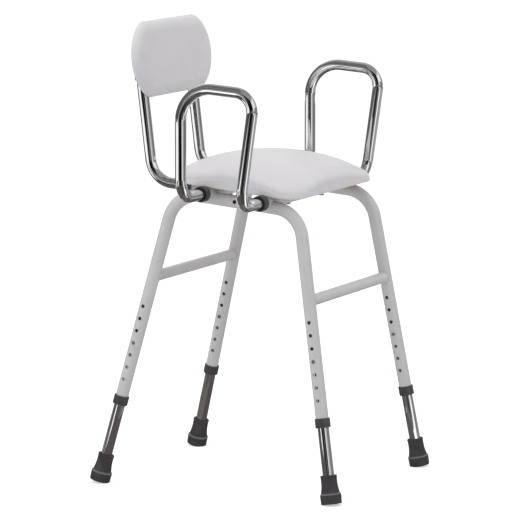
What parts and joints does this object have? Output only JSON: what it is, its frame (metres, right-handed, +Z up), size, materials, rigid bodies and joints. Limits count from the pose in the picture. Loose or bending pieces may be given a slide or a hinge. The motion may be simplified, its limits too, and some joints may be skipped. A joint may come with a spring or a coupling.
{
  "type": "perching shower stool",
  "caption": "Height-adjustable perching shower stool with sloping padded seat, lift-out tubular arms, padded backrest and rubber feet.",
  "frame": {"origin": "on the floor, in the middle of the stool's footprint", "axes": "+Z up, front of the stool at -Y, the sitter's right at -X"},
  "size_m": [0.6098, 0.5497, 0.9152],
  "materials": {
    "powder_coat": "off-white powder coat, satin",
    "chrome": "bright chrome plate",
    "vinyl": "smooth white upholstery vinyl, slight sheen",
    "collar_plastic": "dark grey moulded plastic, fine matt",
    "cap_plastic": "black moulded plastic",
    "rubber": "dark grey rubber, matt",
    "zinc": "zinc-plated steel",
    "spring_steel": "blued spring steel",
    "board": "birch plywood, sealed"
  },
  "bodies": {
    "frame": {"side_frame_right": "powder_coat", "side_frame_left": "powder_coat", "front_crossbar": "powder_coat", "rear_crossbar": "powder_coat", "front_arm_socket": "powder_coat", "rear_arm_socket": "powder_coat", "back_socket_right": "powder_coat", "back_socket_left": "powder_coat", "leg_collar_front_right": "collar_plastic", "leg_collar_rear_right": "collar_plastic", "leg_collar_front_left": "collar_plastic", "leg_collar_rear_left": "collar_plastic", "arm_collar_front_right": "collar_plastic", "arm_collar_rear_right": "collar_plastic", "arm_collar_front_left": "collar_plastic", "arm_collar_rear_left": "collar_plastic", "back_collar_right": "collar_plastic", "back_collar_left": "collar_plastic", "seat_board": "board", "seat_cushion": "vinyl", "seat_screws": "zinc", "seat_tee_nuts": "zinc"},
    "leg_front_right": {"leg_tube_front_right": "chrome", "foot_front_right": "rubber", "foot_washer_front_right": "zinc", "button_spring_front_right": "spring_steel"},
    "button_outer_front_right": {"button_outer_front_right": "zinc"},
    "button_inner_front_right": {"button_inner_front_right": "zinc"},
    "leg_rear_right": {"leg_tube_rear_right": "chrome", "foot_rear_right": "rubber", "foot_washer_rear_right": "zinc", "button_spring_rear_right": "spring_steel"},
    "button_outer_rear_right": {"button_outer_rear_right": "zinc"},
    "button_inner_rear_right": {"button_inner_rear_right": "zinc"},
    "leg_front_left": {"leg_tube_front_left": "chrome", "foot_front_left": "rubber", "foot_washer_front_left": "zinc", "button_spring_front_left": "spring_steel"},
    "button_outer_front_left": {"button_outer_front_left": "zinc"},
    "button_inner_front_left": {"button_inner_front_left": "zinc"},
    "leg_rear_left": {"leg_tube_rear_left": "chrome", "foot_rear_left": "rubber", "foot_washer_rear_left": "zinc", "button_spring_rear_left": "spring_steel"},
    "button_outer_rear_left": {"button_outer_rear_left": "zinc"},
    "button_inner_rear_left": {"button_inner_rear_left": "zinc"},
    "arm_right": {"arm_right": "chrome"},
    "arm_left": {"arm_left": "chrome"},
    "back": {"back_tube_right": "chrome", "back_tube_left": "chrome", "back_tube_caps": "cap_plastic", "back_board": "board", "back_cushion": "vinyl", "back_screws": "zinc"}
  },
  "joints": [
    {"name": "leg_front_right_slide", "type": "slide", "parent": "frame", "child": "leg_front_right", "axis": [-0.0817, -0.1616, -0.9835], "range_m": [-0.0762, 0.0762]},
    {"name": "button_outer_front_right_press", "type": "slide", "parent": "leg_front_right", "child": "button_outer_front_right", "axis": [0.9966, 0, -0.0828], "range_m": [0, 0.0042], "stiffness_N_per_m": 1500, "springref_m": -0.002, "deforming": ["button_spring_front_right"]},
    {"name": "button_inner_front_right_press", "type": "slide", "parent": "leg_front_right", "child": "button_inner_front_right", "axis": [-0.9966, 0, 0.0828], "range_m": [0, 0.0042], "stiffness_N_per_m": 1500, "springref_m": -0.002, "deforming": ["button_spring_front_right"]},
    {"name": "leg_rear_right_slide", "type": "slide", "parent": "frame", "child": "leg_rear_right", "axis": [-0.0803, 0.2462, -0.9659], "range_m": [-0.0762, 0.0762]},
    {"name": "button_outer_rear_right_press", "type": "slide", "parent": "leg_rear_right", "child": "button_outer_rear_right", "axis": [0.9966, 0, -0.0828], "range_m": [0, 0.0042], "stiffness_N_per_m": 1500, "springref_m": -0.002, "deforming": ["button_spring_rear_right"]},
    {"name": "button_inner_rear_right_press", "type": "slide", "parent": "leg_rear_right", "child": "button_inner_rear_right", "axis": [-0.9966, 0, 0.0828], "range_m": [0, 0.0042], "stiffness_N_per_m": 1500, "springref_m": -0.002, "deforming": ["button_spring_rear_right"]},
    {"name": "leg_front_left_slide", "type": "slide", "parent": "frame", "child": "leg_front_left", "axis": [0.0817, -0.1616, -0.9835], "range_m": [-0.0762, 0.0762]},
    {"name": "button_outer_front_left_press", "type": "slide", "parent": "leg_front_left", "child": "button_outer_front_left", "axis": [-0.9966, 0, -0.0828], "range_m": [0, 0.0042], "stiffness_N_per_m": 1500, "springref_m": -0.002, "deforming": ["button_spring_front_left"]},
    {"name": "button_inner_front_left_press", "type": "slide", "parent": "leg_front_left", "child": "button_inner_front_left", "axis": [0.9966, 0, 0.0828], "range_m": [0, 0.0042], "stiffness_N_per_m": 1500, "springref_m": -0.002, "deforming": ["button_spring_front_left"]},
    {"name": "leg_rear_left_slide", "type": "slide", "parent": "frame", "child": "leg_rear_left", "axis": [0.0803, 0.2462, -0.9659], "range_m": [-0.0762, 0.0762]},
    {"name": "button_outer_rear_left_press", "type": "slide", "parent": "leg_rear_left", "child": "button_outer_rear_left", "axis": [-0.9966, 0, -0.0828], "range_m": [0, 0.0042], "stiffness_N_per_m": 1500, "springref_m": -0.002, "deforming": ["button_spring_rear_left"]},
    {"name": "button_inner_rear_left_press", "type": "slide", "parent": "leg_rear_left", "child": "button_inner_rear_left", "axis": [0.9966, 0, 0.0828], "range_m": [0, 0.0042], "stiffness_N_per_m": 1500, "springref_m": -0.002, "deforming": ["button_spring_rear_left"]},
    {"name": "arm_right_slide", "type": "slide", "parent": "frame", "child": "arm_right", "axis": [-1, 0, 0], "range_m": [0, 0.095]},
    {"name": "arm_left_slide", "type": "slide", "parent": "frame", "child": "arm_left", "axis": [1, 0, 0], "range_m": [0, 0.095]},
    {"name": "back_slide", "type": "slide", "parent": "frame", "child": "back", "axis": [0, 0.996, 0.0889], "range_m": [0, 0.045]}
  ]
}
